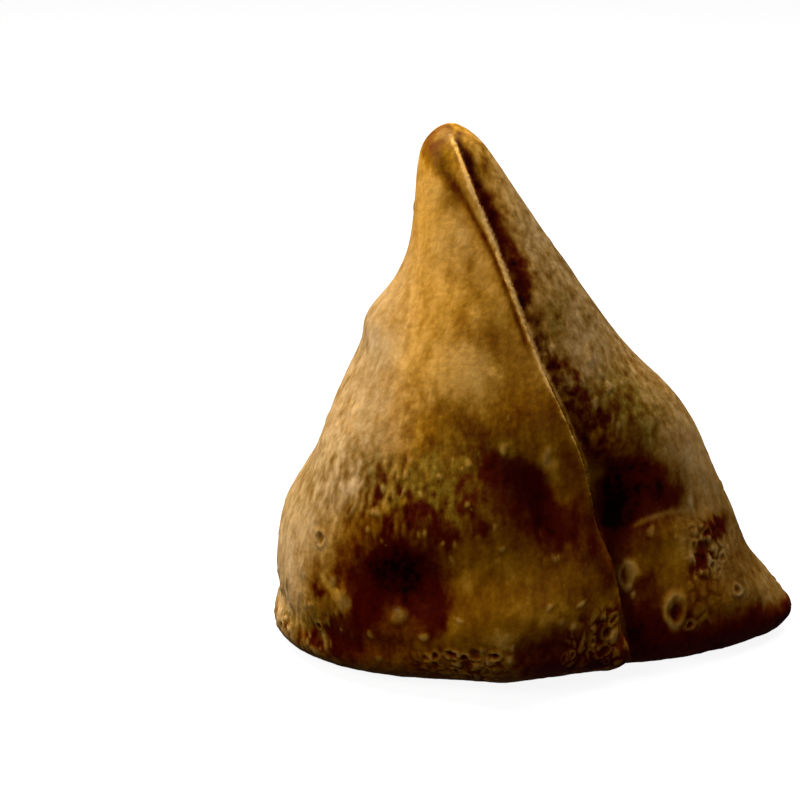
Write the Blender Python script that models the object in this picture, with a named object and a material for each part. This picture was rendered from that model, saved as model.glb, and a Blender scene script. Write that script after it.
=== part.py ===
"""A fried samosa, standing on its sealed hem.

One sheet of dough is rolled into a cone round the filling. Its free edge laps over the cone down
the front, from the tip to the hem, and the open end is pinched shut all round the bottom.

Lengths are in millimetres until MM turns them into metres. The origin is on the table, under the
middle of the samosa. +X is to the right, -Y is the front, where the lap is, and +Z is up.
Angles run round the upright axis: 0 faces the front and +90 degrees faces the right.
"""

import math

import bmesh
import bpy

MM = 0.001

HEIGHT = 82.0
MIDDLE_X = 0.8  # what the folds add on the right, taken off again so that the whole stays centred
DOUGH = 2.1  # thickness of the fried sheet at its free edge
TIP_START = 78.2  # height at which the walls turn into the rounded tip

# The rounded foot: how high it is and how far it draws in, at the corners and at the front.
CORNER_ROUND = 3.8
CORNER_INSET = 4.0
FRONT_ROUND = 9.0
FRONT_INSET = 8.8

# The skin as (height, reach from the upright axis) stations, from the table to the tip.
LEFT_REACH = (
    (0, 39.6), (5, 39.8), (12, 40.8), (20, 39.4), (32, 34.0),
    (44, 28.6), (53, 23.8), (66, 18.9), (HEIGHT, 16.9),
)
RIGHT_REACH = (
    (0, 41.6), (3, 42.2), (8, 39.4), (14, 34.3), (24, 30.0),
    (33, 26.0), (38, 22.8), (48, 14.0), (64, 1.8), (HEIGHT, -10.5),
)
FRONT_REACH = ((0, 23.0), (10, 24.5), (22, 24.5), (36, 21.5), (52, 15.5), (66, 9.5), (HEIGHT, 3.6))
BACK_REACH = ((0, 22.0), (12, 23.0), (26, 20.5), (42, 15.5), (58, 10.0), (71, 6.0), (HEIGHT, 3.2))

# The foremost line of the skin, which is also the centre of each section, and the lap's free edge.
RIDGE_X = ((0, -5.0), (20, -7.5), (42, -7.0), (62, -8.8), (HEIGHT, -13.2))
LAP_X = ((0, 13.8), (10, 12.2), (22, 9.9), (34, 6.2), (50, -1.2), (66, -7.3), (HEIGHT, -13.2))

# Roundness of each side of a section: 1 is a flat side between corners, 2 is an arc.
LEFT_ROUNDNESS = ((0, 2.25), (40, 2.1), (HEIGHT, 2.0))
RIGHT_ROUNDNESS = ((0, 1.15), (20, 1.3), (44, 1.55), (HEIGHT, 2.0))
BACK_ROUNDNESS = ((0, 2.2), (40, 2.1), (HEIGHT, 2.0))

# Presses and swellings: (x, height, half width, half height, tilt in degrees, lift).
THUMB_DENT = (-19.5, 17.5, 7.2, 5.6, 8, -4.6)
LONG_DENT = (0.6, 30.4, 8.6, 3.8, -52, -3.4)
LOW_SWELLING = (-3.0, 14.5, 10.0, 5.0, 0, 1.9)
LEFT_CHEEK = (-27.0, 31.0, 9.0, 12.0, 0, 0.9)
LAP_PIT = (13.0, 28.0, 3.4, 4.6, 0, -9.0)  # where the hem pulls the right wall in under the lap

# The lump on the left shoulder.
SHOULDER_ANGLE = -84.0
SHOULDER_HEIGHT = 52.8
SHOULDER_HALF_ANGLE = 26.0
SHOULDER_HALF_HEIGHT = 3.2
SHOULDER_LIFT = 2.0

# The right half of the hem, folded up over the wall as a rounded tongue.
TONGUE_CROWN_X = 20.0
TONGUE_CROWN_HEIGHT = 24.4
TONGUE_FALL = 0.035  # how fast its top edge falls away from the crown
TONGUE_START_X = 11.4
TONGUE_LIFT = 3.8
TONGUE_SWELLING = (23.0, 13.0, 9.0, 6.0, 0, 0.9)

# The pinched band round the bottom.
HEM_HEIGHT = 7.0
HEM_LIFT = 0.5
HEM_CREASE = 0.35

# The pleat at the back, which lets a samosa stand.
PLEAT_ANGLE = 176.0
PLEAT_SPREAD = 30.0
PLEAT_HEIGHT = 46.0
PLEAT_LIFT = 2.5

# The mesh: columns run up it, closest together at the lap, and rows run round it.
COLUMNS = 76
CROWDING = 0.55
OUTER_SHARE = 0.72
FOOT_ROWS = 5
WALL_ROWS = 40
TIP_ROWS = 4
TIP_TURN = 80.0

# The lap's edge, rolled under: (way out of the tuck in mm, share of the step up) for each column.
TUCK = ((0.25, 0.0), (-0.95, 0.05), (-1.9, 0.35), (-0.65, 0.62), (0.22, 0.82))


def smooth(value):
    """0 below 0, 1 above 1, and an S between."""
    value = min(1.0, max(0.0, value))
    return value * value * (3.0 - 2.0 * value)


def bell(distance):
    return math.exp(-distance * distance)


def through(stations, at):
    """A smooth curve through (place, value) stations, which never swings past them."""
    if at <= stations[0][0]:
        return stations[0][1]
    if at >= stations[-1][0]:
        return stations[-1][1]
    slopes = [(b[1] - a[1]) / (b[0] - a[0]) for a, b in zip(stations, stations[1:])]
    first = next(k for k in range(len(slopes)) if at <= stations[k + 1][0])

    def tangent(k):
        if k == 0 or k == len(slopes):
            return slopes[min(k, len(slopes) - 1)]
        before = slopes[k - 1]
        after = slopes[k]
        if before * after <= 0:
            return 0.0
        return 2.0 * before * after / (before + after)

    start, begin = stations[first]
    end, finish = stations[first + 1]
    step = end - start
    t = (at - start) / step
    return (
        begin
        + (finish - begin) * t * t * (3 - 2 * t)
        + step * tangent(first) * t * (1 - t) ** 2
        - step * tangent(first + 1) * t * t * (1 - t)
    )


def skin_radius(angle, height):
    """From a section's centre to the plain skin, before the lap, the hem and the presses."""
    ridge = through(RIDGE_X, height)
    if math.sin(angle) < 0:
        reach = through(LEFT_REACH, height) + ridge
        roundness = through(LEFT_ROUNDNESS, height)
    else:
        reach = through(RIGHT_REACH, height) - ridge
        roundness = through(RIGHT_ROUNDNESS, height)
    depth = through(FRONT_REACH, height)
    if math.cos(angle) < 0:
        depth = through(BACK_REACH, height)
        roundness = through(BACK_ROUNDNESS, height)
    across = abs(math.sin(angle)) / reach
    along = abs(math.cos(angle)) / depth
    return (across**roundness + along**roundness) ** (-1.0 / roundness)


def lap_angle(height):
    """The angle at which the free edge stands, on the right of the ridge."""
    ridge = through(RIDGE_X, height)
    edge = max(0.0, through(LAP_X, height) - ridge)
    roundness = through(RIGHT_ROUNDNESS, height)
    share = edge / (through(RIGHT_REACH, height) - ridge)
    forward = through(FRONT_REACH, height) * (1.0 - share**roundness) ** (1.0 / roundness)
    return math.atan2(edge, forward)


def over_lap(distance, height):
    """Lift of the outer sheet at this distance from its edge: a rolled lip and a groove behind it."""
    lip = 0.35 + 0.75 * smooth((height - 40) / 25)
    groove = 0.10 + 0.75 * smooth((height - 56) / 12)
    body = 0.55 * DOUGH * bell(distance / 14)
    return body + lip * bell(distance / 1.2) - groove * bell((distance - 2.7) / 1.1)


def beside_lap(distance, height):
    """Drop of the inner sheet beside the edge that covers it, which fades towards tip and hem."""
    hollow = (0.4 + 2.4 * smooth((60 - height) / 30)) * (0.3 + 0.7 * smooth(height / 11))
    width = 2.6 + 6.4 * smooth((66 - height) / 36)
    return -(0.45 * DOUGH + hollow) * bell(distance / width)


def press(feature, x, height):
    at_x, at_height, half_width, half_height, tilt, lift = feature
    turn = math.radians(tilt)
    right = x - at_x
    up = height - at_height
    along = (right * math.cos(turn) + up * math.sin(turn)) / half_width
    beside = (up * math.cos(turn) - right * math.sin(turn)) / half_height
    return lift * bell(math.hypot(along, beside))


def shoulder(angle, height):
    turn = (math.degrees(angle) - SHOULDER_ANGLE + 180) % 360 - 180
    rise = bell((height - SHOULDER_HEIGHT) / SHOULDER_HALF_HEIGHT)
    return SHOULDER_LIFT * bell(turn / SHOULDER_HALF_ANGLE) * rise


def tongue(x, height):
    """Lift of the folded-up right half of the hem, which dies away at the right corner."""
    top = TONGUE_CROWN_HEIGHT - TONGUE_FALL * (x - TONGUE_CROWN_X) ** 2
    left_end = smooth((x - TONGUE_START_X) / 3)
    right_end = smooth((through(RIGHT_REACH, height) - x) / 6)
    below = top - height
    lift = TONGUE_LIFT * (0.35 + 0.65 * smooth(below / 13)) * (0.3 + 0.7 * smooth(height / 12))
    return (lift + press(TONGUE_SWELLING, x, height)) * smooth(below / 1.2) * left_end * right_end


def hem(angle, height):
    """The pinched band round the bottom, with a crease above it."""
    top = HEM_HEIGHT + 0.8 * math.sin(3 * angle + 1.0)
    return HEM_LIFT * smooth((top + 1 - height) / 3) - HEM_CREASE * bell((height - top - 1) / 1.5)


def pleat(angle, height):
    """The fold at the back: it rises slowly, drops at its edge and has a hollow under the edge."""
    before = PLEAT_ANGLE - math.degrees(angle) % 360
    if before >= 0:
        rise = smooth(1 - before / PLEAT_SPREAD)
    else:
        rise = smooth(1 + before / 3.5)
    fall = 0.9 * bell((before + 5) / 4)
    return (PLEAT_LIFT * rise - fall) * smooth((PLEAT_HEIGHT - height) / 26)


def lumps(angle, height):
    """Low, uneven swellings from the filling."""
    wide = 0.35 * math.sin(3 * angle + 0.13 * height)
    narrow = 0.30 * math.sin(5 * angle - 0.21 * height + 2)
    level = 0.22 * math.sin(2 * angle + 0.34 * height + 4)
    return (wide + narrow + level) * smooth((72 - height) / 30)


def surface_radius(angle, height, outer):
    """From a section's centre to the finished surface of the outer sheet, or of the one it laps."""
    plain = skin_radius(angle, height)
    edge = lap_angle(height)
    x = through(RIDGE_X, height) + plain * math.sin(angle)
    faces_front = smooth(math.cos(angle) * 2.5)
    fine = hem(angle, height)
    if outer:
        lift = over_lap(plain * ((edge - angle) % math.tau), height)
        for feature in (THUMB_DENT, LONG_DENT, LOW_SWELLING, LEFT_CHEEK, LAP_PIT):
            lift += faces_front * press(feature, x, height)
    else:
        lift = beside_lap(plain * max(0.0, angle - edge), height)
        lift += faces_front * press(LAP_PIT, x, height)
        clear = smooth((x - through(LAP_X, height)) / 2)
        fine *= 1 - 0.7 * clear
        if math.cos(angle) > 0:
            lift += clear * tongue(x, height)
    lift += fine + pleat(angle, height) + shoulder(angle, height) + lumps(angle, height)
    return plain + lift * smooth((HEIGHT + 1 - height) / 9)


def row_height(angle, wall, foot, tip):
    """Height of a row at this angle: the foot is taller at the front than at the corners."""
    facing = max(0.0, math.cos(angle))
    tall = CORNER_ROUND + (FRONT_ROUND - CORNER_ROUND) * facing
    if foot > 0:
        return tall * (1 - math.sin(foot))
    return tall + (TIP_START - tall) * wall + (HEIGHT - TIP_START) * math.sin(tip)


def place(angle, radius, wall, foot, tip):
    """A point of a row, drawn in at the foot and at the tip."""
    facing = max(0.0, math.cos(angle))
    inset = CORNER_INSET + (FRONT_INSET - CORNER_INSET) * facing
    height = row_height(angle, wall, foot, tip)
    radius = math.cos(tip) * (radius - inset * (1 - math.cos(foot)))
    centre = through(RIDGE_X, height)
    centre += 0.5 * (1 - math.cos(tip)) * (through(RIDGE_X, HEIGHT) - centre)
    x = centre + radius * math.sin(angle) - MIDDLE_X
    return (MM * x, -MM * radius * math.cos(angle), MM * height)


def row_shares():
    """(share of the wall, turn of the foot, turn of the tip) for each row, from the table up."""
    for k in range(FOOT_ROWS):
        yield 0.0, math.radians(90) * (1 - k / FOOT_ROWS), 0.0
    for k in range(WALL_ROWS):
        yield k / (WALL_ROWS - 1), 0.0, 0.0
    for k in range(TIP_ROWS):
        yield 1.0, 0.0, math.radians(TIP_TURN) * (k + 1) / TIP_ROWS


def row_points(wall, foot, tip):
    """One row, from the free edge round the left and the back to beneath the lap."""
    middle = row_height(0.0, wall, foot, tip)
    edge = lap_angle(middle)
    step = 1.0 / skin_radius(edge, middle)  # the angle that is 1 mm at the edge
    full = math.tau - 0.7 * step
    points = []
    for k in range(COLUMNS):
        share = k / (COLUMNS - 1)
        share -= CROWDING * math.sin(math.tau * share) / math.tau
        angle = edge - full * share
        outer = share < OUTER_SHARE
        if not outer:
            angle += math.tau
        height = row_height(angle, wall, foot, tip)
        lowest = 0.4 * row_height(angle, 0.0, 0.0, 0.0)
        radius = surface_radius(angle, max(height, lowest), outer)
        points.append(place(angle, radius, wall, foot, tip))

    # The tuck under the free edge closes up at the hem and at the tip.
    above = surface_radius(edge, middle, True)
    below = surface_radius(edge, middle, False)
    open_share = smooth((middle - 3) / 5) * smooth((HEIGHT - middle) / 5)
    for k, (out, rise) in enumerate(TUCK):
        closed_rise = 0.2 + 0.6 * k / len(TUCK)
        closed_out = 0.7 * (0.8 - closed_rise)
        if out < 0:
            out *= open_share
        angle = edge + step * (out + (1 - open_share) * closed_out)
        share = rise * open_share + closed_rise * (1 - open_share)
        points.append(place(angle, below + (above - below) * share, wall, foot, tip))
    return points


def pastry_mesh():
    """Rows joined by quads, closed by the flat foot and a small cap at the tip."""
    mesh = bmesh.new()
    rows = [[mesh.verts.new(point) for point in row_points(*shares)] for shares in row_shares()]
    count = len(rows[0])
    for low, high in zip(rows, rows[1:]):
        for k in range(count):
            after = (k + 1) % count
            mesh.faces.new((low[after], low[k], high[k], high[after]))
    mesh.faces.new(rows[0])
    mesh.faces.new(reversed(rows[-1]))
    bmesh.ops.recalc_face_normals(mesh, faces=mesh.faces)
    data = bpy.data.meshes.new("samosa")
    mesh.to_mesh(data)
    mesh.free()
    data.shade_smooth()
    return data


def crust_material():
    material = bpy.data.materials.new("fried_crust")
    material.use_nodes = True
    shader = material.node_tree.nodes["Principled BSDF"]
    shader.inputs["Base Color"].default_value = (0.42, 0.23, 0.075, 1.0)
    shader.inputs["Roughness"].default_value = 0.55
    shader.inputs["Metallic"].default_value = 0.0
    return material


def main():
    for obj in list(bpy.data.objects):
        bpy.data.objects.remove(obj)
    samosa = bpy.data.objects.new("samosa", pastry_mesh())
    samosa.data.materials.append(crust_material())
    bpy.context.scene.collection.objects.link(samosa)


main()
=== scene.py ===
"""A fried samosa: blistered golden crust, browned dents and folds, on a pale table in soft light."""

import math
import random

import bpy
import numpy as np
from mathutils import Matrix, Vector, noise
from mathutils.kdtree import KDTree


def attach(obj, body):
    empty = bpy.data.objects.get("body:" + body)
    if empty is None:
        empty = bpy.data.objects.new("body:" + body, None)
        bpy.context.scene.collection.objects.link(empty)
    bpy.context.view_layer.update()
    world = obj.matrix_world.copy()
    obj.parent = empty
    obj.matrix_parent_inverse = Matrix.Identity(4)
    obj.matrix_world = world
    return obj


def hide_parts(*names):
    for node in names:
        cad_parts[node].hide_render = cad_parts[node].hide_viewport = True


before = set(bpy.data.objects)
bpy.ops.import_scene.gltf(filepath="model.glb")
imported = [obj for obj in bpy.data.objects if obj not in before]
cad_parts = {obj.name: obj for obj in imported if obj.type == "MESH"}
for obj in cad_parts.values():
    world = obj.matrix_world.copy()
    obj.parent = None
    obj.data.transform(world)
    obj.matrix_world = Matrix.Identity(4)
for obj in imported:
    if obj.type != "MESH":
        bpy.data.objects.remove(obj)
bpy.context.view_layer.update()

MM = 0.001

# ---------------------------------------------------------------------------------------------
# The rolled sheet.
# One sheet of wheat dough, rolled into a cone round the filling and lapped down the front. Frying
# has set it, so it is one skin here, remeshed finely enough to carry its creases and blisters.
# ---------------------------------------------------------------------------------------------
SKIN_GRAIN = 0.33 * MM
SKIN_TRIANGLES = 192000

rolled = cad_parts["samosa"]
crust = rolled.copy()
crust.data = rolled.data.copy()
crust.name = "crust"
bpy.context.scene.collection.objects.link(crust)
bpy.ops.object.select_all(action="DESELECT")
crust.select_set(True)
bpy.context.view_layer.objects.active = crust
bpy.ops.object.mode_set(mode="EDIT")
bpy.ops.mesh.select_all(action="SELECT")
bpy.ops.mesh.remove_doubles(threshold=0.001 * MM)
bpy.ops.mesh.tris_convert_to_quads()
bpy.ops.object.mode_set(mode="OBJECT")


def finish_with(name, kind, **settings):
    """Adds a modifier to the crust and applies it."""
    modifier = crust.modifiers.new(name, kind)
    for setting, value in settings.items():
        setattr(modifier, setting, value)
    bpy.ops.object.modifier_apply(modifier=modifier.name)


finish_with("rounding", "SUBSURF", levels=2, render_levels=2)
finish_with("skin", "REMESH", mode="VOXEL", voxel_size=SKIN_GRAIN)
finish_with("settling", "SMOOTH", factor=0.5, iterations=4)
crust.data.shade_smooth()


def skin_points():
    """The skin's points, in millimetres, and its outward directions."""
    points = np.empty(len(crust.data.vertices) * 3)
    outward = np.empty(len(crust.data.vertices) * 3)
    crust.data.vertices.foreach_get("co", points)
    crust.data.vertex_normals.foreach_get("vector", outward)
    return points.reshape(-1, 3) / MM, outward.reshape(-1, 3)


def push_skin(lift):
    """Moves the skin along its outward directions, by a lift in millimetres for each point."""
    points, outward = skin_points()
    moved = (points + outward * lift[:, None]) * MM
    moved[:, 2] = np.maximum(moved[:, 2], 0.0)
    crust.data.vertices.foreach_set("co", moved.ravel())
    crust.data.update()


def smooth(value):
    value = np.clip(value, 0.0, 1.0)
    return value * value * (3.0 - 2.0 * value)


def bell(distance):
    return np.exp(-distance * distance)


def cloudy(points, size, stretch=1.0, seed=0.0):
    """Soft noise from -1 to 1 whose patches are about this size in millimetres."""
    place = points / size
    place[:, 2] /= stretch
    place += seed
    return np.array([noise.noise(Vector(spot)) for spot in place.tolist()])


points, outward = skin_points()
lap_heights = (0, 10, 22, 34, 42, 50, 66, 75, 82)
lap_edge = (14.3, 12.2, 9.0, 6.0, 2.9, -1.2, -7.6, -11.4, -14.4)
from_lap = points[:, 0] - np.interp(points[:, 2], lap_heights, lap_edge)
faces_front = smooth(0.5 - 2.0 * outward[:, 1])
height = points[:, 2]
right = points[:, 0]

# Hand-made unevenness: broad swells, then finer ripples that run down from the tip, a crease
# behind the lap's free edge and a rolled lip along it.
swells = cloudy(points, 9.0, 1.4, 3.0)
creases = cloudy(points, 3.6, 1.8, 11.0)
ripples = 0.6 * cloudy(points, 1.5, 1.8, 23.0) + 0.4 * cloudy(points, 0.8, 1.4, 31.0)
streaks = cloudy(points, 0.8, 2.6, 37.0)
torn_edge = 0.30 * cloudy(points, 1.3, 1.3, 171.0) + 0.20 * cloudy(points, 0.6, 1.2, 177.0)
behind = np.interp(height, (52, 62, 66, 69, 72.5, 76), (1.0, 0.9, 1.15, 1.6, 2.3, 3.1))
groove = bell((from_lap + behind) / (0.25 + 0.22 * behind)) * smooth((height - 48.0) / 8.0)
groove *= faces_front * smooth((80.0 - height) / 5.0)
lip = faces_front * bell((from_lap + torn_edge + 0.2) / 0.26) * smooth((height - 26.0) / 5.0)
fold = faces_front * bell((from_lap + 0.45 * behind) / (0.45 * behind)) * smooth((height - 26.0) / 5.0)
rough = 0.35 + 0.65 * smooth((50.0 - height) / 14.0)
lift = 0.20 * swells + 0.10 * creases + rough * (0.055 * ripples + 0.045 * streaks)
lift += 0.14 * fold - 0.26 * groove + 0.25 * smooth((8.0 - height) / 5.0)
push_skin(lift)

# ---------------------------------------------------------------------------------------------
# Its blisters.
# Steam lifts small bubbles in the skin as it fries. Whole ones are pale domes. Popped ones leave
# a raised rim round a dark pit. They crowd into froth in the folded hem and along the foot.
# ---------------------------------------------------------------------------------------------
WHOLE = 0
POPPED = 1
SHALLOW = 2

# (x, height, radius, tallness, tilt in degrees, kind) of the largest blisters on the front.
front_blisters = [
    # the folded hem, on the right
    (20.8, 9.8, 2.1, 1.45, 0, POPPED), (13.0, 16.9, 1.3, 1.8, -4, SHALLOW), (13.9, 13.9, 0.6, 1.6, 8, WHOLE),
    (31.0, 11.7, 1.2, 1.0, 0, SHALLOW), (23.2, 6.8, 1.2, 0.9, 0, SHALLOW), (26.0, 20.2, 0.9, 0.9, 30, WHOLE),
    # the foot of the lap
    (10.0, 8.4, 1.5, 0.9, 0, POPPED), (4.6, 11.2, 0.7, 1.2, 0, WHOLE), (2.6, 12.4, 0.6, 1.2, 0, WHOLE),
    (7.6, 11.0, 0.6, 1.4, 30, WHOLE), (8.6, 7.2, 0.6, 1.0, 0, WHOLE), (6.2, 8.6, 0.5, 3.6, 0, WHOLE), (0.8, 16.2, 0.6, 1.8, 60, WHOLE),
    (5.6, 15.6, 0.5, 2.2, 70, WHOLE), (9.0, 12.6, 0.5, 2.4, 50, WHOLE),
    # the foot, in the middle
    (-10.0, 8.6, 0.7, 1.3, 0, WHOLE), (-8.4, 7.6, 1.2, 0.9, 0, POPPED), (-14.6, 7.2, 1.2, 1.0, 0, POPPED),
    (-17.0, 6.4, 0.9, 1.2, 0, POPPED), (-12.6, 6.8, 0.9, 1.0, 0, POPPED), (-22.4, 13.4, 1.5, 1.1, 20, WHOLE),
    (-18.6, 9.6, 0.8, 1.1, 0, WHOLE), (-13.6, 14.2, 0.9, 0.8, 20, WHOLE), (-26.8, 8.8, 0.6, 1.6, 0, WHOLE),
    # the left
    (-34.0, 23.2, 1.4, 0.9, 0, SHALLOW), (-32.0, 17.2, 0.7, 2.2, 4, WHOLE), (-30.6, 14.8, 1.3, 2.2, 4, WHOLE),
    (-33.0, 9.2, 0.6, 1.8, 0, WHOLE), (-36.6, 10.2, 0.6, 1.8, 0, WHOLE), (-34.4, 7.8, 0.8, 1.0, 0, POPPED),
    # above the dents
    (-6.2, 39.2, 0.6, 1.8, 4, WHOLE), (0.2, 37.2, 0.6, 3.4, 14, WHOLE), (-6.2, 25.6, 0.6, 1.2, 0, WHOLE),
    (-12.3, 37.4, 0.7, 1.1, 0, WHOLE), (-27.0, 26.8, 0.5, 1.8, 0, WHOLE), (-24.9, 25.6, 0.4, 1.6, 0, WHOLE),
    (-18.4, 27.6, 0.4, 1.8, 0, WHOLE), (-16.0, 26.2, 0.4, 1.6, 0, WHOLE), (-21.4, 35.2, 0.5, 1.8, 0, WHOLE),
]


def nearest_skin(points, x, up):
    """The foremost skin at this place, as seen from the front."""
    near = np.nonzero((abs(points[:, 0] - x) < 0.7) & (abs(points[:, 2] - up) < 0.7))[0]
    return points[near[np.argmin(points[near, 1])]]


def raise_blister(centre, radius, tallness, tilt, kind, wobble):
    """Adds one blister to the lift of the points round it, and marks its rim and its pit."""
    found = tree.find_range(Vector(centre), radius * 1.9 * max(1.0, tallness))
    if not found:
        return
    index = np.array([entry[1] for entry in found])
    apart = points[index] - centre
    facing = outward[tree.find(Vector(centre))[1]]
    side = np.cross(facing, (0.0, 0.0, 1.0))
    side /= max(0.1, np.linalg.norm(side))
    turn = math.radians(tilt)
    beside = apart @ side
    above = apart @ np.cross(side, facing)
    across = (beside * math.cos(turn) + above * math.sin(turn)) / radius
    along = (above * math.cos(turn) - beside * math.sin(turn)) / (radius * tallness)
    way = np.arctan2(along, across)
    out = np.hypot(across, along)
    uneven = min(1.0, 0.8 / radius)
    out *= 1.0 + uneven * (0.13 * np.sin(2 * way + wobble) + 0.09 * np.sin(3 * way + 2 * wobble))
    out += min(0.4, 0.40 / radius) * ripples[index] + 0.15 * creases[index]
    same_side = smooth(outward[index] @ facing * 2.0)
    if kind == WHOLE:
        dome = smooth(1.35 - 1.25 * out) * same_side
        lift[index] += radius * 0.24 * dome
        rim[index] = np.maximum(rim[index], dome)
    else:
        deep = 1.0 if kind == POPPED else 0.35
        torn = 0.88 + 0.22 * np.sin(way + wobble)
        ring = torn * bell((out - 0.82) / 0.24) * same_side
        hole = smooth(1.3 - 1.7 * out) * same_side
        lift[index] += radius * (0.20 * ring - 0.24 * deep * hole)
        rim[index] = np.maximum(rim[index], ring)
        pit[index] = np.maximum(pit[index], deep * hole)


def add_froth(where, spacing, tallness, drift):
    """Packs squeezed bubbles side by side where asked, some whole and some torn open."""
    zone = np.nonzero(where > 0.02)[0]
    squash = np.array((1.0, 1.0, 1.0 / tallness))
    centres = []
    for _ in range(int(len(zone) / 8)):
        chosen = zone[luck.randrange(len(zone))]
        gap = spacing * luck.uniform(0.55, 1.15)
        spot = points[chosen] * squash
        if all(np.linalg.norm(spot - other) > gap for other in centres[-400:]):
            centres.append(spot)
    cells = KDTree(len(centres))
    for number, spot in enumerate(centres):
        cells.insert(spot, number)
    cells.balance()
    kinds = [luck.random() for _ in centres]
    shift = [cloudy(points[zone], 1.3 * spacing, 1.0, seed) for seed in (101.0, 107.0, 113.0)]
    ragged = [cloudy(points[zone], 0.4 * spacing, 1.0, seed) for seed in (151.0, 157.0, 163.0)]
    places = points[zone] + drift * (np.stack(shift, axis=1) + 0.45 * np.stack(ragged, axis=1))
    places = places * squash
    for index, place in zip(zone.tolist(), places.tolist()):
        near, far = cells.find_n(place, 2)
        inward = (far[2] - near[2]) / spacing
        amount = where[index]
        if kinds[near[1]] < 0.24:
            ring = math.exp(-(((inward - 0.26) / 0.15) ** 2))
            hole = min(1.0, max(0.0, (inward - 0.36) / 0.3))
            lift[index] += amount * spacing * (0.12 * ring - 0.14 * hole)
            rim[index] = max(rim[index], amount * ring)
            pit[index] = max(pit[index], amount * 0.8 * hole)
        elif kinds[near[1]] < 0.46:
            hollow = min(1.0, inward / 0.25)
            lift[index] -= amount * spacing * 0.08 * hollow
            pit[index] = max(pit[index], amount * 0.85 * hollow)
        elif kinds[near[1]] < 0.92:
            inward -= 0.16 * max(0.0, 0.5 + creases[index] + 0.6 * ripples[index])
            dome = min(1.0, max(0.0, inward / 0.50))
            lift[index] += amount * spacing * (0.20 * math.sin(1.57 * dome) - 0.06)
            rim[index] = max(rim[index], amount * max(0.0, 1.5 * dome - 0.5))
            # The gaps between the domes are marked as pits, later painted dark as painted shade.
            gap = min(1.0, max(0.0, 1.15 - inward / 0.26))
            pit[index] = max(pit[index], amount * 0.85 * gap)


points, outward = skin_points()
tree = KDTree(len(points))
for index, spot in enumerate(points.tolist()):
    tree.insert(spot, index)
tree.balance()
lift = np.zeros(len(points))
rim = np.zeros(len(points))
pit = np.zeros(len(points))
luck = random.Random(7)

# Froth: the folded hem, the lap's foot, the middle of the foot, and patches all round the foot.
scattered = smooth(2.2 * cloudy(points, 6.0, 0.8, 131.0) + 0.5)
hem_fold = smooth((right - 20.5) / 2.5) * smooth((23.5 - height + 0.4 * (26 - right)) / 3.0)
hem_fold *= smooth((height - 5.5) / 3.0) * (0.22 + 0.64 * smooth((30.0 - right) / 4.0)) * faces_front
hem_fold *= 0.55 + 0.45 * smooth((height - 14.0) / 3.0)
low = smooth((11.0 - height) / 4.0)
lap_foot = smooth((right - 1.0) / 3.0) * smooth(-from_lap / 0.8) * smooth((14.5 - height) / 3.0) * faces_front
middle = bell((right + 13.0) / 9.0) * low * faces_front
left_side = smooth((-29.0 - right) / 3.0) * smooth((15.0 - height) / 5.0)
elsewhere = low * scattered * (1.0 - faces_front * smooth((right + 40.0) / 4.0))
froth = np.maximum.reduce([hem_fold, 0.72 * lap_foot, 0.8 * middle, 0.25 * left_side, 0.8 * elsewhere])
froth *= smooth((height - 1.0) / 2.0) * (0.5 + 0.5 * scattered)
add_froth(np.where(right > 12.0, froth, 0.0), 2.3, 1.1, 0.9)
add_froth(np.where(right > 12.0, 0.0, froth), 1.7, 1.5, 0.7)
for x, up, radius, tallness, tilt, kind in front_blisters:
    raise_blister(nearest_skin(points, x, up), radius, tallness, tilt, kind, luck.uniform(0, 6))

# Small blisters all round, rare on the smooth cone. None lies on the lap's own edge.
crowded = 0.03 + 0.12 * smooth((34.0 - height) / 12.0) * (1.0 - faces_front)
crowded += 0.36 * faces_front * bell((right + 22.0) / 9.0) * bell((height - 31.0) / 6.0)
crowded += 0.40 * left_side + 0.30 * faces_front * smooth(from_lap / 2.0) * bell((height - 45.0) / 14.0)
crowded *= 1.0 - faces_front * bell((from_lap + 1.2) / 1.6)
crowded *= 1.0 - 0.9 * faces_front * smooth(-from_lap / 2.0) * smooth((height - 37.0) / 6.0)
for _ in range(6000):
    turn = luck.uniform(0.0, math.tau)
    up = luck.uniform(0.0, 80.0)
    spread = 44.0 - 0.45 * up
    spot, index, _ = tree.find(Vector((-7.0 + spread * math.sin(turn), -26.0 * math.cos(turn), up)))
    radius = luck.uniform(0.22, 0.40) + 0.5 * luck.random() ** 4
    tallness = luck.uniform(1.0, 3.2)
    wobble = luck.uniform(0.0, 6.0)
    kept = luck.random() < crowded[index] * (1.0 - up / 90.0)
    if kept and spot[2] > 1.0:
        raise_blister(np.array(spot), radius, tallness, luck.uniform(-20, 20), WHOLE, wobble)
push_skin(np.clip(lift, -0.8, 0.8))


def keep_on_skin(name, values):
    """Stores one number for each point of the skin, for the crust's material to read."""
    layer = crust.data.attributes.new(name, "FLOAT", "POINT")
    layer.data.foreach_set("value", np.ascontiguousarray(values, dtype=np.float32))


# ---------------------------------------------------------------------------------------------
# Its browning, with painted shade and painted highlight.
# The dents, folds and foot are painted darkest: browning, deepened by painted shade in the hollows,
# under the lap and on the hem. Thin or raised skin is palest, partly as painted highlight. Every patch
# has a ragged edge. Tone runs from 0, floury and pale, over gold near 0.4 and maroon near 0.85, to 1.
# ---------------------------------------------------------------------------------------------
SOFT = 0
CRISP = 1
wavy_x = right + 1.3 * cloudy(points, 5.0, 1.2, 61.0) + 0.7 * cloudy(points, 1.4, 1.7, 67.0)
wavy_height = height + 1.3 * cloudy(points, 5.0, 1.2, 71.0) + 1.2 * cloudy(points, 1.2, 1.5, 77.0)

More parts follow.
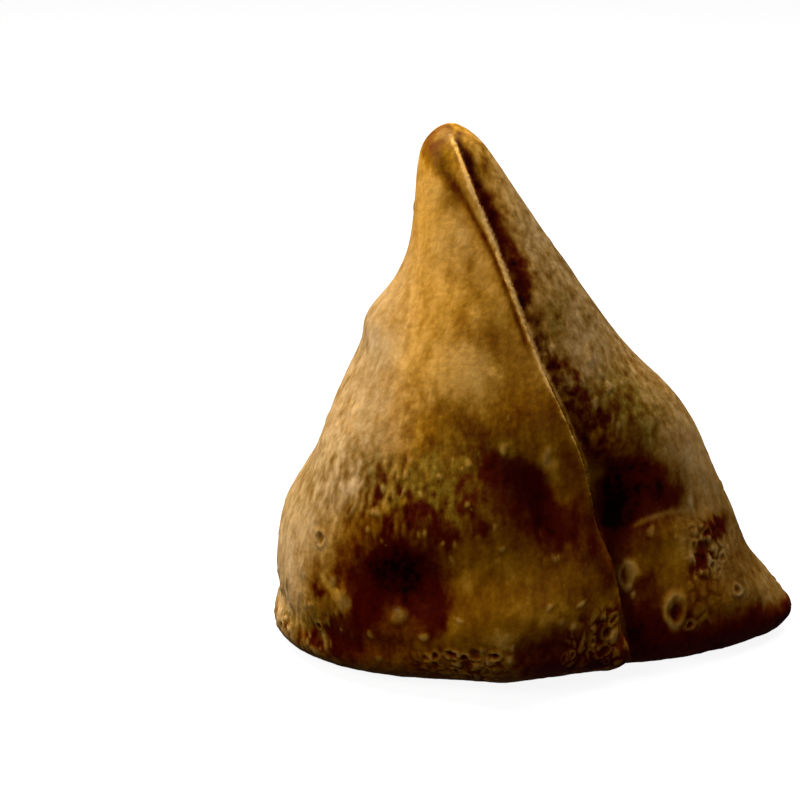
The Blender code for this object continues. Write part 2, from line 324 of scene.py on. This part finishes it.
# (tone, x, height, half width, half height, tilt in degrees, edge), painted over one another.
cone_marks = [
    # the tip and the smooth cone below it
    (0.60, -15.0, 79.8, 5.0, 4.0, 0, CRISP), (0.44, -14.8, 75.4, 1.4, 3.4, 18, SOFT),
    (0.22, -18.0, 73.0, 1.8, 5.0, 0, SOFT), (0.40, -11.6, 70.0, 0.8, 3.4, 16, SOFT),
    # the pale streak at x -10.6 and height 56.8 on the next line is a painted highlight
    (0.42, -12.2, 62.6, 1.2, 1.6, 0, SOFT), (0.06, -10.6, 56.8, 0.8, 2.4, 12, SOFT), (0.40, -10.4, 59.8, 1.2, 1.2, 0, SOFT),
    (0.02, -12.0, 68.2, 1.2, 2.0, 0, SOFT), (0.54, -7.8, 51.8, 3.2, 6.0, 22, SOFT),
    (0.44, -17.6, 45.6, 7.6, 3.0, 0, SOFT), (0.06, -13.0, 48.8, 4.4, 3.4, 0, SOFT),
    # the pale mark at x -24.8 and height 50.8 on the next line is painted light that lifts the shade under the left
    # shoulder
    (0.27, -25.0, 44.0, 5.0, 7.0, 0, SOFT), (0.10, -24.8, 50.8, 2.6, 1.8, 0, SOFT),
    (0.56, -2.4, 42.4, 4.2, 5.0, 0, SOFT), (0.62, -9.8, 39.6, 5.6, 3.0, 0, SOFT),
    # the olive band above the left dent
    (0.58, -19.0, 31.4, 9.6, 3.8, 0, SOFT), (0.64, -13.6, 33.6, 4.4, 4.6, 0, SOFT),
    # the long dent beside the lap, painted dark: browning deepened by painted shade
    (0.70, -5.5, 33.0, 8.0, 7.0, 0, SOFT), (0.66, 4.0, 24.6, 6.4, 5.4, 0, SOFT),
    (0.86, -5.0, 34.2, 6.0, 3.4, -20, CRISP), (0.90, -0.4, 28.8, 6.4, 2.8, -54, CRISP),
    (0.88, 2.6, 26.0, 3.0, 2.6, -20, CRISP),
    (0.80, -9.7, 28.8, 1.0, 2.0, 0, CRISP), (0.80, -12.0, 31.8, 1.8, 1.6, 0, SOFT),
    (0.86, 3.0, 29.0, 1.5, 1.4, 0, SOFT), (0.28, 5.3, 32.4, 1.3, 2.2, 16, SOFT), (0.20, 0.2, 37.0, 0.9, 3.4, 12, SOFT),
    (0.60, 2.4, 31.6, 0.8, 1.8, 18, SOFT), (0.68, 0.6, 20.4, 1.8, 1.3, 0, SOFT), (0.40, -6.2, 39.2, 0.7, 1.2, 0, SOFT),
    # the left dent and its tail down to the foot, painted dark: browning deepened by painted shade, and the pale
    # blister in it
    (0.76, -21.0, 26.8, 8.4, 3.2, 0, SOFT), (0.84, -16.0, 27.0, 2.8, 2.6, 0, CRISP), (0.60, -21.0, 26.6, 1.8, 1.4, 0, SOFT),
    (0.86, -18.2, 29.8, 1.5, 2.2, 0, SOFT), (0.50, -14.8, 29.8, 1.2, 1.3, 0, SOFT), (0.76, -24.2, 31.8, 1.6, 1.6, 0, SOFT), (0.24, -28.6, 32.0, 2.2, 1.6, 0, SOFT),
    (0.74, -24.0, 10.0, 5.0, 4.4, 0, SOFT), (0.88, -21.6, 18.4, 7.8, 6.2, 0, CRISP),
    (0.94, -22.6, 20.6, 2.6, 2.8, 0, SOFT), (0.86, -27.2, 14.6, 2.4, 4.4, 0, CRISP),
    (0.86, -29.4, 9.2, 3.4, 4.4, -12, CRISP), (0.56, -22.2, 13.4, 1.8, 1.8, 0, SOFT),
    # the left flank
    (0.80, -29.8, 18.0, 2.0, 4.4, 0, SOFT), (0.80, -27.2, 23.2, 2.0, 1.8, 0, SOFT), (0.62, -33.6, 17.6, 1.2, 1.8, 0, SOFT),
    (0.84, -33.4, 14.2, 1.6, 1.4, 0, SOFT), (0.38, -33.2, 11.0, 1.6, 1.2, 0, SOFT), (0.60, -35.0, 7.0, 3.0, 2.0, 0, SOFT),
    (0.70, -34.6, 5.0, 2.6, 1.5, 0, SOFT), (0.30, -31.2, 15.0, 1.0, 3.0, 22, CRISP),
    # the two pale marks along the left edge on the next line are painted highlights
    (0.14, -38.8, 17.0, 2.0, 7.0, 0, SOFT), (0.16, -39.4, 9.0, 3.0, 5.6, 0, CRISP),
    (0.84, -31.4, 5.6, 3.4, 2.6, 0, SOFT), (0.44, -36.0, 28.6, 1.4, 2.0, 0, SOFT),
    # the ochre bulge
    (0.38, -7.6, 22.8, 3.4, 2.2, 0, SOFT), (0.36, -12.2, 19.4, 1.5, 1.8, 0, SOFT), (0.62, -12.0, 24.0, 1.6, 1.4, 0, SOFT), (0.92, -17.2, 14.8, 3.2, 3.2, 0, CRISP),
    (0.47, -6.0, 16.6, 6.4, 4.0, 0, SOFT), (0.57, 5.4, 17.6, 4.4, 3.4, 0, SOFT),
    (0.46, -14.8, 10.8, 2.4, 1.2, 0, SOFT), (0.76, -17.6, 11.8, 2.0, 1.6, 0, SOFT),
    (0.32, -17.8, 7.8, 1.8, 1.3, 0, SOFT), (0.48, -6.0, 5.2, 2.0, 1.6, 0, SOFT), (0.34, 0.2, 14.6, 2.2, 1.1, -10, SOFT), (0.30, 3.2, 12.8, 2.2, 0.9, -18, SOFT),
    (0.34, 8.8, 13.8, 1.5, 1.6, -35, SOFT), (0.16, -6.4, 11.2, 2.2, 1.2, 0, SOFT),
    # the foot, with the shadow under the lap's foot painted in dark on its right
    (0.80, 2.6, 6.6, 7.4, 4.6, 0, CRISP), (0.52, 6.3, 9.0, 0.8, 2.8, 0, SOFT), (0.80, 3.2, 11.2, 1.6, 1.5, 0, SOFT),
    (0.28, 10.2, 8.8, 2.6, 1.8, 0, SOFT), (0.96, 9.0, 4.6, 3.0, 1.4, 0, SOFT),
    (0.66, -19.0, 5.4, 1.8, 2.2, 0, SOFT), (0.52, -14.0, 5.6, 4.4, 2.6, 0, SOFT),
]
wall_marks = [
    # the wall above the pit
    (0.66, 10.4, 41.4, 6.8, 4.4, -32, SOFT), (0.68, 13.4, 37.2, 5.4, 3.2, 0, SOFT),
    (0.29, 23.0, 31.6, 4.2, 8.0, 24, SOFT), (0.66, 14.6, 37.2, 1.8, 1.6, 0, SOFT),
    (0.50, 6.2, 38.0, 1.0, 1.2, 0, SOFT), (0.56, 3.4, 47.2, 1.4, 1.8, 0, SOFT),
    (0.54, 0.6, 54.6, 2.0, 3.8, -24, SOFT),
    # the pit under the lap, painted near black, and the hollow and valley round it, painted dark: browning deepened by
    # painted shade
    (0.84, 19.0, 27.4, 3.4, 3.0, 0, SOFT), (0.26, 27.0, 19.0, 1.4, 2.0, 0, SOFT), (0.90, 13.2, 29.0, 6.2, 5.0, 0, CRISP),
    (0.86, 10.4, 21.6, 2.6, 3.6, 0, SOFT), (1.00, 11.2, 26.2, 3.4, 3.6, 0, CRISP),
    (0.77, 12.4, 11.4, 2.8, 6.4, 0, SOFT), (0.86, 21.2, 8.8, 2.4, 2.6, 0, SOFT),
    # the tongue's crown and its froth
    (0.84, 15.0, 22.6, 2.8, 1.8, 24, SOFT), (0.50, 18.6, 18.0, 3.4, 3.8, 0, SOFT),
    (0.36, 21.0, 19.6, 1.4, 2.4, 0, SOFT), (0.40, 23.0, 23.0, 1.4, 1.6, 0, SOFT), (0.62, 25.0, 13.0, 3.0, 2.0, 0, SOFT),
    (0.88, 26.6, 20.4, 2.2, 1.9, -20, CRISP), (0.84, 23.6, 18.4, 1.2, 1.3, 0, CRISP),
    (0.86, 24.0, 16.4, 1.2, 1.6, 0, CRISP), (0.74, 25.6, 11.2, 2.6, 1.3, 0, SOFT), (0.40, 27.8, 16.4, 1.8, 2.0, 0, SOFT),
    (0.76, 15.6, 13.4, 2.6, 2.8, 0, SOFT), (0.88, 16.2, 8.0, 3.8, 4.2, 0, CRISP),
    (0.62, 31.0, 14.6, 4.4, 3.4, -40, SOFT), (0.34, 30.6, 20.6, 1.6, 4.0, 20, SOFT), (0.82, 21.4, 7.6, 1.6, 1.2, 0, SOFT),
    (0.42, 36.0, 9.0, 3.6, 1.5, -38, SOFT), (0.20, 13.0, 16.8, 1.3, 2.3, 0, CRISP),
]
# How maroon the crust is, from 0 to 1, painted in the same way: a painted shade tint for the dents, pit, valley and
# foot.
maroon_shade_marks = [
    (0.9, -27.4, 14.4, 3.6, 6.0, 0, SOFT), (0.9, 2.0, 10.6, 5.6, 2.6, 0, SOFT),
    (0.8, -1.2, 31.0, 6.6, 3.6, -46, SOFT), (0.9, 11.6, 12.6, 3.6, 7.0, 0, SOFT),
    (0.9, 9.4, 35.6, 3.0, 2.4, 0, SOFT), (0.7, 10.4, 20.4, 2.4, 3.4, 0, SOFT),
    (0.6, -21.0, 23.0, 8.0, 2.6, 0, SOFT), (0.8, -18.4, 15.4, 4.6, 4.6, 0, SOFT), (0.0, -14.0, 6.6, 4.6, 2.0, 0, SOFT),
]
# How olive it is, from 0 to 1: the greenish bands above the dents.
olive_marks = [
    (1.0, -17.0, 33.0, 9.0, 5.5, 0, SOFT), (1.0, -10.0, 36.0, 5.0, 5.0, 0, SOFT),
    (0.8, 11.0, 41.5, 6.0, 4.0, -30, SOFT), (0.6, 0.6, 54.6, 2.4, 4.4, -24, SOFT), (0.6, 15.0, 37.6, 3.0, 2.4, 0, SOFT), (0.5, -14.4, 79.6, 4.4, 3.6, 0, SOFT),
    (0.8, -34.6, 8.4, 4.2, 4.4, 0, SOFT),
]


def paint(tone, marks):
    """Paints some marks over a tone. A crisp one is flat-topped, a soft one fades from its middle."""
    for target, x, up, half_width, half_height, tilt, edge in marks:
        turn = math.radians(tilt)
        beside = wavy_x - x
        above = wavy_height - up
        across = (beside * math.cos(turn) + above * math.sin(turn)) / half_width
        along = (above * math.cos(turn) - beside * math.sin(turn)) / half_height
        spot = bell(np.hypot(across, along)) * faces_front
        if edge == CRISP:
            spot = smooth(2.0 * spot - 0.25)
        tone = tone + spot * (target - tone)
    return tone


under_lap = smooth((from_lap + 0.5 * torn_edge + 0.2) / 0.4) * smooth(1.05 - 1.1 * outward[:, 1])
far_left = smooth((-25.0 - right) / 7.0)
cone_tone = np.interp(height, (10, 36, 43, 50, 58, 80), (0.53, 0.51, 0.40, 0.31, 0.27, 0.26))
cone_tone += far_left * (np.interp(height, (4, 14, 30, 40), (0.50, 0.33, 0.26, 0.26)) - cone_tone)
cone_tone = paint(cone_tone, cone_marks)
# Painted shade: darker just in front of the lap's edge below mid-height, where the edge rounds off into its shadow.
cone_tone += 0.12 * bell((from_lap + 0.9) / 1.0) * smooth((40.0 - height) / 6.0) * faces_front
# Painted shade in the crease behind the lap's free edge, and a little along it.
cone_tone += 0.44 * groove * smooth((83.0 - height) / 16.0) + 0.07 * faces_front * bell((from_lap + behind + 0.8) / 1.0)
# Painted highlight: a thin, broken pale line along the lap's rolled lip, from mid-height up.
lip_highlight = lip * np.interp(height, (36, 52, 62), (0.35, 0.50, 1.0))
cone_tone -= 0.80 * lip_highlight * (1.0 + 2.4 * torn_edge) * smooth((82.0 - height) / 4.0)

# The wall under the lap: the lap edge's shadow, painted as a dark band of uneven width beside the
# edge, with browned crumbs in it, and painted shade on the hem's dark foot.
wall_tone = np.interp(height, (22, 30, 60, 68, 80), (0.53, 0.36, 0.40, 0.30, 0.28))
lap_shadow_width = np.interp(height, (34, 42, 50, 55, 59, 61, 63, 66, 80), (5, 5.5, 2.8, 2.1, 2.0, 4.0, 4.2, 2.0, 1.2))
lap_shadow_band = smooth((lap_shadow_width - from_lap - torn_edge - 0.7 * (right - wavy_x)) / 1.4 + 0.4)
crumbs = cloudy(points, 1.1, 1.3, 141.0) + 0.6 * cloudy(points, 0.6, 1.0, 147.0)
lap_shadow_tone = np.interp(height, (34, 42, 50, 55, 60, 80), (0.80, 0.82, 0.70, 0.70, 0.82, 0.78))
# Painted shade: a little darker for a few millimetres beside the lap's edge on the upper wall.
lap_shadow_fringe = bell(from_lap / 5.0) * smooth((height - 50.0) / 10.0)
wall_tone += 0.09 * lap_shadow_fringe
lap_shadow_band *= smooth((82.2 - height) / 2.5)
wall_tone += lap_shadow_band * smooth((height - 30.0) / 6.0) * (lap_shadow_tone - wall_tone)
wall_tone = paint(wall_tone, wall_marks)
# Painted shade on the hem's foot, below a line that rises and falls along the hem.
hem_shade = np.interp(right, (12, 20, 24, 30, 36, 42), (9.4, 6.6, 5.8, 7.4, 6.4, 4.0))
wall_tone += smooth((hem_shade - wavy_height) / 3.0 + 0.5) * (0.86 - wall_tone)
tone = cone_tone + under_lap * (wall_tone - cone_tone)
back_foot = (1.0 - faces_front) * smooth((7.0 - wavy_height) / 5.0)
tone += 0.75 * back_foot * (0.78 - tone)
tone += 0.04 * cloudy(points, 12.0, 1.3, 41.0) + 0.06 * cloudy(points, 4.5, 1.3, 57.0)
crumbly = under_lap * smooth((height - 32.0) / 6.0) * (0.42 + 0.58 * lap_shadow_band * smooth((66.0 - height) / 10.0))
dashes = faces_front * bell((right + 22.0) / 11.0) * bell((height - 31.0) / 7.0) + 0.5 * left_side
dashes *= 1.0 - 0.8 * smooth((tone - 0.74) / 0.12)
tone -= (0.36 + 0.2 * smooth((height - 42.0) / 8.0)) * crumbly * crumbs + 0.42 * dashes * streaks
crown = 24.9 - 0.045 * (right - 19.0) ** 2
crown = under_lap * bell((height - crown) / 0.4) * smooth((right - 12.5) / 1.5) * smooth((24.5 - right) / 2.0)

# Blister domes and rims are painted pale as painted highlight on the raised skin, and the pits, torn
# bubbles and gaps between bubbles are painted dark as painted shade in these hollows.
rim_highlight_tone = 0.34 - 0.12 * smooth((20.0 - height) / 5.0) * smooth((right + 24.0) / 6.0) * faces_front
tone = tone + 0.78 * rim * (rim_highlight_tone - tone) + pit * (0.90 - tone)
tone = tone + 0.80 * crown * (0.38 - tone)

flour_heights = (8, 14, 20, 26, 32, 38, 46, 52, 60, 72)
flour_edge = np.interp(height, flour_heights, (-38, -36, -34, -31, -25, -23, -22.5, -22.5, -22, -22))
flour_fade = 9.0 + 14.0 * smooth(0.5 + outward[:, 1])
floury = 1.05 * smooth((flour_edge - right) / flour_fade + 0.5) + 0.13 * smooth((height - 40.0) / 8.0) * smooth((79.0 - height) / 5.0)
wall_edge = np.interp(height, (6, 12, 16, 22, 26, 34, 40, 45, 52, 80), (33, 29, 24, 22, 18, 16, 10, 3, 0, -8))
floury += 0.75 * under_lap * smooth((right - wall_edge) / 7.0 + 0.5)
# The blister rims and the lap's lip are also painted creamier, as part of their painted highlight.
floury += 0.18 * cloudy(points, 7.0, 1.3, 91.0) * (floury > 0.05) + 0.4 * rim + 0.40 * lip_highlight

olive = paint(np.zeros(len(points)), olive_marks) * smooth((tone - 0.40) / 0.14)
floury += 0.4 * olive * (1.0 - under_lap) * smooth((60.0 - height) / 8.0)
floury += 0.16 * smooth(0.6 * outward[:, 1] + 0.4) * smooth((height - 10.0) / 10.0)

# Painted shade: the foot, the deepest folds and the lap's shadow band are tinted maroon where the tone is dark.
reddish = paint(smooth((11.0 - wavy_height) / 6.0), maroon_shade_marks)
reddish = np.maximum(reddish, 0.7 * lap_shadow_band * under_lap * smooth((height - 54.0) / 8.0) * smooth((79.0 - height) / 3.0))
reddish *= smooth((tone - 0.50) / 0.22)
speckled = 0.5 * crumbly
rough = 0.60 + 0.6 * faces_front * bell((right + 22.0) / 12.0) * bell((height - 31.0) / 8.0)
rough += 0.45 * smooth((-24.0 - right) / 6.0) + 0.3 * speckled + 0.3 * (1.0 - faces_front)
rough += 0.5 * faces_front * bell((right + 14.0) / 9.0) * bell((height - 44.0) / 9.0)
rough *= 1.0 - 0.6 * smooth((tone - 0.74) / 0.12)
oily = 0.02 + (0.10 + 0.14 * smooth((20.0 - height) / 6.0)) * np.maximum(rim, crown) * (1.0 - pit)
oily += 0.20 * lip_highlight * (1.0 + 2.4 * torn_edge)
oily = np.clip(oily - 1.6 * np.clip(tone - 0.62, 0.0, 1.0), 0.0, 1.0)
keep_on_skin("oily", oily)
keep_on_skin("floury", floury)
keep_on_skin("browned", tone)
keep_on_skin("rough", rough)
keep_on_skin("speckled", speckled)
keep_on_skin("reddish", reddish)
keep_on_skin("olive", olive)
keep_on_skin("ripples", ripples)
triangles = sum(len(face.vertices) - 2 for face in crust.data.polygons)
finish_with("thinning", "DECIMATE", ratio=SKIN_TRIANGLES / triangles)
print("crust", triangles, sum(len(face.vertices) - 2 for face in crust.data.polygons))

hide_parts("samosa")
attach(crust, "root")

# The crust's finish: flour-pale on high places, partly as painted highlight, gold between, and deep
# brown in the dents and folds, browning deepened by painted shade, with a fine fibrous grain and a thin film of oil.
class Wire:
    """A value in a material's node tree, so that shader maths reads as plain sums."""

    def __init__(self, tree, socket=None):
        self.tree = tree
        self.socket = socket

    def node(self, kind, settings, sockets, output=0):
        made = self.tree.nodes.new(kind)
        for name, value in settings.items():
            if name == "stops":
                ramp = made.color_ramp
                while len(ramp.elements) < len(value):
                    ramp.elements.new(0.5)
                for element, (place, colour) in zip(ramp.elements, value):
                    element.position = place
                    element.color = (*colour, 1.0)
            else:
                setattr(made, name, value)
        for name, value in sockets.items():
            if isinstance(value, Wire):
                self.tree.links.new(value.socket, made.inputs[name])
            else:
                made.inputs[name].default_value = value
        return Wire(self.tree, made.outputs[output] if made.outputs else None)

    def math(self, operation, left, right):
        return self.node("ShaderNodeMath", {"operation": operation}, {0: left, 1: right})

    def mix(self, amount, start, end):
        sockets = {0: amount, 6: start, 7: end}
        return self.node("ShaderNodeMix", {"data_type": "RGBA"}, sockets, 2)

    def held(self):
        return self.node("ShaderNodeClamp", {}, {0: self})

    def __add__(self, other):
        return self.math("ADD", self, other)

    def __sub__(self, other):
        return self.math("SUBTRACT", self, other)

    def __rsub__(self, other):
        return self.math("SUBTRACT", other, self)

    def __mul__(self, other):
        return self.math("MULTIPLY", self, other)

    __radd__ = __add__
    __rmul__ = __mul__


fried = bpy.data.materials.new("fried_dough")
fried.use_nodes = True
fried.node_tree.nodes.clear()
wire = Wire(fried.node_tree)
on_object = wire.node("ShaderNodeTexCoord", {}, {}, "Object")


def grain(size, detail=4.0, stretch=1.0):
    """Noise from 0 to 1 whose patches are about this size in millimetres."""
    squash = wire.node("ShaderNodeMapping", {}, {"Vector": on_object, "Scale": (1, 1, 1 / stretch)})
    sockets = {"Vector": squash, "Scale": 1.0 / (size * MM), "Detail": detail, "Roughness": 0.6}
    return wire.node("ShaderNodeTexNoise", {}, sockets)


def beads(size):
    """Bubbles packed side by side: 0 in the middle of each, rising to about 1 between them."""
    sockets = {"Vector": on_object, "Scale": 1.0 / (size * MM), "Smoothness": 0.35}
    return wire.node("ShaderNodeTexVoronoi", {"feature": "SMOOTH_F1"}, sockets)


def skin_mark(name):
    return wire.node("ShaderNodeAttribute", {"attribute_name": name}, {}, "Fac")


fibres = grain(1.3, 4.0, 2.2)
speckle = grain(0.55, 3.0, 1.3)
patches = grain(5.0, 4.0, 1.4)
mottles = grain(2.2, 4.0, 1.8)
bubbles = beads(0.95)
rough = skin_mark("rough")
# Painted highlight and shade on the fine relief: raised ripples are painted paler, and their low places darker.
tone = skin_mark("browned") + (patches - 0.5) * 0.26 - skin_mark("ripples") * rough * 0.12
tone = tone + (mottles - 0.5) * 0.34
tone = tone + (fibres - 0.5) * 0.55 * rough + (speckle - 0.5) * (0.12 + 0.6 * skin_mark("speckled"))
# Painted shade: darker in the gaps between the fine bubbles of the bump.
tone = tone + (bubbles - 0.4) * 0.06
golden_stops = (
    (0.00, (0.70, 0.370, 0.065)),
    (0.22, (0.55, 0.265, 0.035)),
    (0.34, (0.40, 0.180, 0.012)),
    (0.45, (0.281, 0.110, 0.002)),
    (0.55, (0.205, 0.070, 0.0009)),
    (0.65, (0.145, 0.038, 0.0006)),
    (0.74, (0.095, 0.016, 0.0005)),
    (0.82, (0.068, 0.0045, 0.0004)),
    (0.90, (0.052, 0.0009, 0.0003)),
    (1.00, (0.004, 0.0003, 0.0002)),
)
floury_stops = (
    (0.00, (0.60, 0.385, 0.17)),
    (0.22, (0.43, 0.265, 0.105)),
    (0.34, (0.325, 0.187, 0.062)),
    (0.45, (0.245, 0.130, 0.031)),
    (0.55, (0.185, 0.086, 0.012)),
    (0.65, (0.130, 0.046, 0.0025)),
    (0.74, (0.088, 0.020, 0.0008)),
    (0.82, (0.068, 0.0055, 0.0004)),
    (0.90, (0.052, 0.0009, 0.0003)),
    (1.00, (0.004, 0.0003, 0.0002)),
)
golden = wire.node("ShaderNodeValToRGB", {"stops": golden_stops}, {0: tone.held()})
floury = wire.node("ShaderNodeValToRGB", {"stops": floury_stops}, {0: tone.held()})
floured = (skin_mark("floury") * (0.4 + 1.2 * grain(1.8, 4.0, 1.6))).held()
colour = wire.mix(floured, golden, floury)
# Painted shade: a maroon tint where the crust is darkest.
maroon = {0: (skin_mark("reddish") * 0.9).held(), 6: colour, 7: (1.0, 0.45, 0.3, 1.0)}
colour = wire.node("ShaderNodeMix", {"data_type": "RGBA", "blend_type": "MULTIPLY"}, maroon, 2)
green = {0: skin_mark("olive").held(), 6: colour, 7: (0.84, 1.20, 1.0, 1.0)}
colour = wire.node("ShaderNodeMix", {"data_type": "RGBA", "blend_type": "MULTIPLY"}, green, 2)
height = fibres * 0.10 + speckle * 0.05 - bubbles * 0.06 + grain(0.28, 2.0) * 0.03
relief = wire.node("ShaderNodeBump", {}, {"Height": height, "Distance": 1.0 * MM, "Strength": 0.9})
oil = (0.56 + (patches - 0.5) * 0.3 + (speckle - 0.5) * 0.3).held()
finish = {
    "Base Color": colour, "Roughness": oil, "Normal": relief,
    "Specular IOR Level": 0.08, "Specular Tint": (1.0, 0.45, 0.15, 1.0),
    "Coat Weight": (skin_mark("oily") * (0.4 + speckle)).held(), "Coat Roughness": 0.28,
}
shaded = wire.node("ShaderNodeBsdfPrincipled", {}, finish)
wire.node("ShaderNodeOutputMaterial", {}, {"Surface": shaded})
crust.data.materials.clear()
crust.data.materials.append(fried)

# ---------------------------------------------------------------------------------------------
# The table, the light and the camera.
# A pale plain table under one soft lamp from the upper left, with a faint one behind on the right.
# ---------------------------------------------------------------------------------------------
bpy.ops.object.select_all(action="DESELECT")
bpy.ops.mesh.primitive_plane_add(size=6.0, location=(0, 0, -0.02 * MM))
table = bpy.context.object
table.name = "table"
pale_top = bpy.data.materials.new("pale_table")
pale_top.use_nodes = True
top_shader = pale_top.node_tree.nodes["Principled BSDF"]
top_shader.inputs["Base Color"].default_value = (0.15, 0.15, 0.15, 1.0)
top_shader.inputs["Roughness"].default_value = 0.9
top_shader.inputs["Emission Color"].default_value = (1.0, 1.0, 1.0, 1.0)
top_shader.inputs["Emission Strength"].default_value = 0.9
table.data.materials.append(pale_top)
table.visible_diffuse = False
table.visible_glossy = False


def add_lamp(name, turn, rise, watts, tint):
    """A soft square lamp, at this turn from the front and this rise in degrees, aimed at the crust."""
    light = bpy.data.lights.new(name, "AREA")
    light.size = 0.24
    light.energy = watts
    light.color = tint
    lamp = bpy.data.objects.new(name, light)
    turn = math.radians(turn)
    rise = math.radians(rise)
    way = Vector((math.sin(turn) * math.cos(rise), -math.cos(turn) * math.cos(rise), math.sin(rise)))
    lamp.location = Vector((-0.005, 0.0, 0.035)) + way * 0.55
    lamp.rotation_mode = "QUATERNION"
    lamp.rotation_quaternion = (-way).to_track_quat("-Z", "Y")
    bpy.context.scene.collection.objects.link(lamp)


add_lamp("window", -120, 60, 5.4, (1.0, 0.98, 0.95))
add_lamp("front", -55, 40, 1.7, (1.0, 0.98, 0.95))
add_lamp("back", 120, 60, 2.1, (0.96, 0.98, 1.0))
add_lamp("low", 35, 15, 0.35, (1.0, 1.0, 1.0))

sky = bpy.data.worlds.new("room")
sky.use_nodes = True
sky.node_tree.nodes["Background"].inputs["Color"].default_value = (1.0, 1.0, 1.0, 1.0)
sky.node_tree.nodes["Background"].inputs["Strength"].default_value = 0.04
bpy.context.scene.world = sky
bpy.context.scene.view_settings.view_transform = "Standard"

CAMERA_AIM = Vector((-21.6, 0.0, 39.0)) * MM
CAMERA_TILT = math.radians(20)
CAMERA_AWAY = 290 * MM
lens = bpy.data.cameras.new("camera")
lens.lens = 85
lens.sensor_width = 36
lens.clip_start = 0.01
lens.clip_end = 20.0
camera = bpy.data.objects.new("camera", lens)
look = Vector((0.0, math.cos(CAMERA_TILT), -math.sin(CAMERA_TILT)))
camera.location = CAMERA_AIM - look * CAMERA_AWAY
camera.rotation_mode = "QUATERNION"
camera.rotation_quaternion = look.to_track_quat("-Z", "Y")
bpy.context.scene.collection.objects.link(camera)
bpy.context.scene.camera = camera
